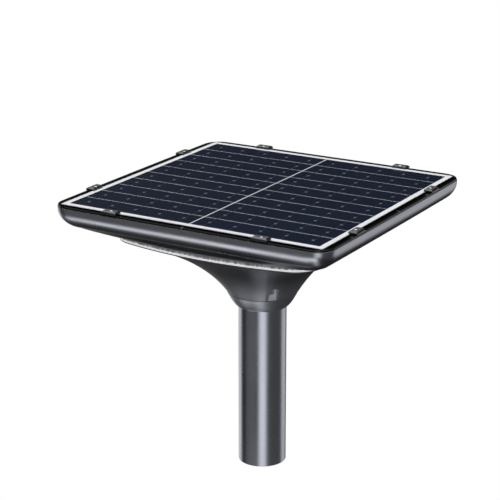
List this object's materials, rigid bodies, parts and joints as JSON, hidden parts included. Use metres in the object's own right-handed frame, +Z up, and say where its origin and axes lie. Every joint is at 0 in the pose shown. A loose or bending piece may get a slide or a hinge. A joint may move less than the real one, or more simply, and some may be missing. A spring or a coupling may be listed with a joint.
{
  "type": "solar street lamp",
  "caption": "Square solar lamp head with a light ring, on the top of a round pole; it turns on the pole and is gripped by set screws.",
  "frame": {"origin": "centre of the pole's lower end, at the bottom of the bounding box", "axes": "+Z up along the pole; +X and +Y square to the panel's sides, with the power button towards +Y"},
  "size_m": [0.3684, 0.3684, 0.3584],
  "materials": {
    "pole_paint": "satin grey coating",
    "housing_paint": "satin dark grey coating",
    "tray_paint": "satin grey coating",
    "lens_clear": "clear ribbed plastic",
    "panel_glass": "smooth toughened glass",
    "silicon": "smooth dark blue",
    "backsheet": "plain white",
    "bezel_black": "gloss black",
    "clip_black": "gloss black",
    "screw_steel": "plain steel",
    "set_screw_steel": "blackened steel",
    "seal_rubber": "matt",
    "led_strip": "white strip with light chips",
    "inner_plastic": "matt",
    "chassis_aluminium": "plain sheet",
    "battery_sleeve": "shrink sleeve",
    "board_green": "solder resist",
    "spring_steel": "plain wire",
    "button_rubber": "matt",
    "cable_black": "matt sheath"
  },
  "bodies": {
    "pole": {"pole": "pole_paint"},
    "head": {"funnel": "housing_paint", "collar_ring": "housing_paint", "tray_shell": "tray_paint", "lens_ring": "lens_clear", "lens_gasket_upper": "seal_rubber", "lens_gasket_lower": "seal_rubber", "led_strip": "led_strip", "panel_glass": "panel_glass", "cell_string_left": "silicon", "cell_string_right": "silicon", "backsheet": "backsheet", "panel_gasket": "seal_rubber", "junction_box": "inner_plastic", "bezel_corner_1": "bezel_black", "bezel_corner_2": "bezel_black", "bezel_corner_3": "bezel_black", "bezel_corner_4": "bezel_black", "panel_clip_1": "clip_black", "panel_clip_2": "clip_black", "panel_clip_3": "clip_black", "panel_clip_4": "clip_black", "panel_clip_5": "clip_black", "panel_clip_6": "clip_black", "panel_clip_7": "clip_black", "panel_clip_8": "clip_black", "clip_screw_1": "screw_steel", "clip_screw_2": "screw_steel", "clip_screw_3": "screw_steel", "clip_screw_4": "screw_steel", "clip_screw_5": "screw_steel", "clip_screw_6": "screw_steel", "clip_screw_7": "screw_steel", "clip_screw_8": "screw_steel", "body_screw_1": "screw_steel", "body_screw_2": "screw_steel", "body_screw_3": "screw_steel", "body_screw_4": "screw_steel", "chassis_plate": "chassis_aluminium", "battery_cell_1": "battery_sleeve", "battery_cell_2": "battery_sleeve", "battery_cell_3": "battery_sleeve", "battery_cell_4": "battery_sleeve", "battery_cradle": "inner_plastic", "battery_strap": "chassis_aluminium", "controller_case": "inner_plastic", "controller_board": "board_green", "switch_housing": "inner_plastic", "button_spring": "spring_steel", "panel_lead": "cable_black", "battery_lead": "cable_black", "led_lead": "cable_black", "switch_lead": "cable_black"},
    "power_button": {"power_button": "button_rubber"},
    "clamp_screw_1": {"clamp_screw_1": "set_screw_steel"},
    "clamp_screw_2": {"clamp_screw_2": "set_screw_steel"},
    "clamp_screw_3": {"clamp_screw_3": "set_screw_steel"},
    "clamp_screw_4": {"clamp_screw_4": "set_screw_steel"}
  },
  "joints": [
    {"name": "head_swivel", "type": "hinge", "parent": "pole", "child": "head", "pos_m": [0, 0, 0.2765], "axis": [0, 0, 1], "continuous": true},
    {"name": "button_press", "type": "slide", "parent": "head", "child": "power_button", "axis": [0, 0, 1], "range_m": [0, 0.0015], "stiffness_N_per_m": 400, "springref_m": -0.0025, "deforming": ["button_spring"]},
    {"name": "clamp_screw_1_travel", "type": "slide", "parent": "head", "child": "clamp_screw_1", "axis": [0.7071, 0.7071, 0], "range_m": [0, 0.004]},
    {"name": "clamp_screw_2_travel", "type": "slide", "parent": "head", "child": "clamp_screw_2", "axis": [-0.7071, 0.7071, 0], "range_m": [0, 0.004]},
    {"name": "clamp_screw_3_travel", "type": "slide", "parent": "head", "child": "clamp_screw_3", "axis": [-0.7071, -0.7071, 0], "range_m": [0, 0.004]},
    {"name": "clamp_screw_4_travel", "type": "slide", "parent": "head", "child": "clamp_screw_4", "axis": [0.7071, -0.7071, 0], "range_m": [0, 0.004]}
  ]
}
